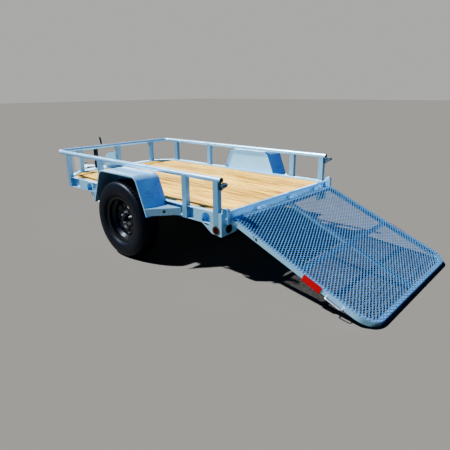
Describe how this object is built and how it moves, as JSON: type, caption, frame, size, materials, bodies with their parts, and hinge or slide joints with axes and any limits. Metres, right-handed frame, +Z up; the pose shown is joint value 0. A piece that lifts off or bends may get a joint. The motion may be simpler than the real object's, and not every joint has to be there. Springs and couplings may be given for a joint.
{
  "type": "utility trailer",
  "caption": "Open utility trailer with a plank deck, tube rail, fenders, tongue jack, ball coupler and a hinged mesh loading ramp lowered to the ground.",
  "frame": {"origin": "on the floor, under the middle of the trailer's bounding box", "axes": "+X forward to the coupler, +Y to the left, +Z up"},
  "size_m": [4.7312, 2.0688, 0.8595],
  "materials": {
    "galvanised": "hot-dip galvanised, satin with faint spangle",
    "zinc_steel": "bright zinc plate",
    "black_steel": "gloss black enamel",
    "wood": "raw pale pine",
    "tyre": "satin black rubber",
    "black_rubber": "matt",
    "black_plastic": "matt",
    "red_lens": "moulded reflector lens",
    "bare_aluminium": "satin"
  },
  "bodies": {
    "trailer": {"side_channel_left": "galvanised", "side_channel_right": "galvanised", "corner_channels": "galvanised", "front_channel": "galvanised", "rear_beam": "galvanised", "cross_members": "galvanised", "deck_planks": "wood", "top_rail": "galvanised", "rail_end_caps": "black_plastic", "posts_left": "galvanised", "posts_right": "galvanised", "posts_front": "galvanised", "corner_plate_left": "galvanised", "corner_plate_right": "galvanised", "lamp_plates": "galvanised", "side_lamps": "red_lens", "tail_lamps": "red_lens", "lamp_grommets": "black_rubber", "fender_left": "galvanised", "fender_right": "galvanised", "rear_steps": "galvanised", "front_steps": "galvanised", "axle": "black_steel", "leaf_spring_left": "black_steel", "leaf_spring_right": "black_steel", "spring_hangers": "galvanised", "spring_clamps": "black_steel", "tongue_left": "galvanised", "tongue_right": "galvanised", "coupler": "black_steel", "coupler_latch": "black_steel", "jack_plate": "black_steel", "jack_tube": "black_steel", "jack_crank": "black_steel", "front_bracket": "galvanised", "data_plate": "bare_aluminium", "hinge_knuckles": "galvanised", "hinge_brackets": "galvanised", "gate_latches": "galvanised"},
    "wheel_left": {"tyre_left": "tyre", "rim_left": "black_steel", "hub_left": "black_steel"},
    "wheel_right": {"tyre_right": "tyre", "rim_right": "black_steel", "hub_right": "black_steel"},
    "ramp": {"ramp_frame": "galvanised", "ramp_bars": "galvanised", "ramp_mesh": "galvanised", "ramp_ears": "galvanised", "ramp_reflectors": "red_lens", "ramp_handles": "zinc_steel"},
    "jack_leg": {"jack_leg": "zinc_steel"}
  },
  "joints": [
    {"name": "wheel_left_spin", "type": "hinge", "parent": "trailer", "child": "wheel_left", "pos_m": [-0.09671, 0.932, 0.353], "axis": [0, 1, 0], "continuous": true},
    {"name": "wheel_right_spin", "type": "hinge", "parent": "trailer", "child": "wheel_right", "pos_m": [-0.09671, -0.932, 0.353], "axis": [0, 1, 0], "continuous": true},
    {"name": "ramp_hinge", "type": "hinge", "parent": "trailer", "child": "ramp", "pos_m": [-1.16224, 0, 0.514], "axis": [0, 1, 0], "range_deg": [0, 112.4]},
    {"name": "jack_slide", "type": "slide", "parent": "trailer", "child": "jack_leg", "axis": [0, 0, 1], "range_m": [0, 0.24]}
  ]
}
